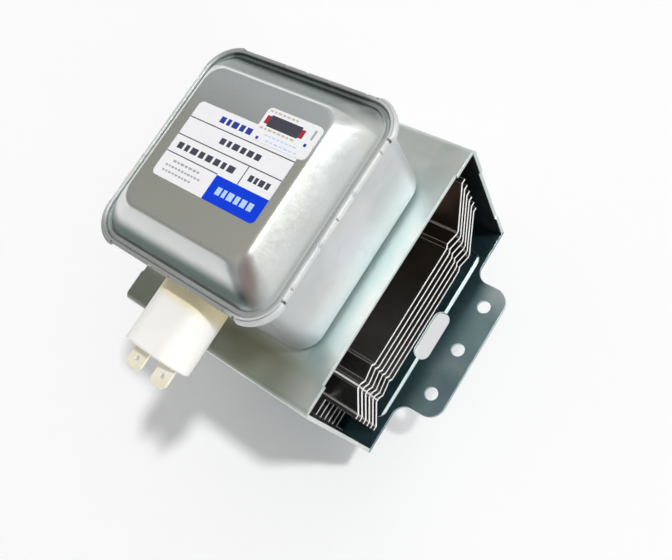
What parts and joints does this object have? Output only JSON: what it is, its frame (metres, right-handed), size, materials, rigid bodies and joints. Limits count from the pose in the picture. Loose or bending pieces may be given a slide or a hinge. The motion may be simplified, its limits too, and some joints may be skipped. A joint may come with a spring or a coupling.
{
  "type": "microwave oven magnetron",
  "caption": "Magnetron tube in an open steel yoke with cooling fins, ring magnets, a flanged mounting plate, a filter box with plug-in terminals and an antenna.",
  "frame": {"origin": "on the tube's axis, in the outer face of the mounting plate, midway between the flange holes", "axes": "+Z along the tube's axis to the filter box, the antenna towards -Z; +X and -X to the open sides with the flanges; -Y to the terminals"},
  "size_m": [0.1122, 0.1099, 0.1326],
  "materials": {
    "yoke_steel": "zinc-plated sheet, soft shine",
    "plate_steel": "zinc-plated sheet, soft shine",
    "fin_aluminium": "bare rolled aluminium",
    "can_steel": "zinc-plated deep-drawn sheet",
    "lid_steel": "zinc-plated deep-drawn sheet",
    "rivet_steel": "plain steel",
    "white_plastic": "white moulded plastic, satin",
    "blue_plastic": "moulded plastic",
    "tab_brass": "pale brass, tin-washed",
    "copper": "bare copper",
    "ferrite": "dark grey sintered ferrite",
    "soft_iron": "bare soft iron",
    "dark_metal": "bare refractory metal",
    "seal_steel": "thin plated steel",
    "white_ceramic": "white alumina",
    "pink_ceramic": "pink alumina, unglazed",
    "mesh_wire": "woven wire"
  },
  "bodies": {
    "root": {"yoke_frame": "yoke_steel", "mounting_plate": "plate_steel", "cooling_fin_1": "fin_aluminium", "cooling_fin_2": "fin_aluminium", "cooling_fin_3": "fin_aluminium", "cooling_fin_4": "fin_aluminium", "cooling_fin_5": "fin_aluminium", "cooling_fin_6": "fin_aluminium", "filter_can": "can_steel", "filter_lid": "lid_steel", "can_rivets": "rivet_steel", "connector_housing": "white_plastic", "capacitor_flange": "can_steel", "capacitor_screws": "rivet_steel", "capacitor_case": "blue_plastic", "terminal_tab_left": "tab_brass", "terminal_tab_right": "tab_brass", "choke_coil_left": "copper", "choke_coil_right": "copper", "choke_core_left": "ferrite", "choke_core_right": "ferrite", "magnet_upper": "ferrite", "magnet_lower": "ferrite", "anode_cylinder": "copper", "anode_vanes": "copper", "strap_rings": "copper", "pole_piece_upper": "soft_iron", "pole_piece_lower": "soft_iron", "filament": "dark_metal", "end_hat_upper": "dark_metal", "end_hat_lower": "dark_metal", "centre_lead": "dark_metal", "side_lead": "dark_metal", "stem_seal": "seal_steel", "stem_ceramic": "white_ceramic", "output_seal": "seal_steel", "output_ceramic": "pink_ceramic", "antenna_lead": "copper", "exhaust_tube": "copper", "antenna_cap": "seal_steel", "mesh_gasket": "mesh_wire", "gasket_ring": "seal_steel"}
  },
  "joints": []
}
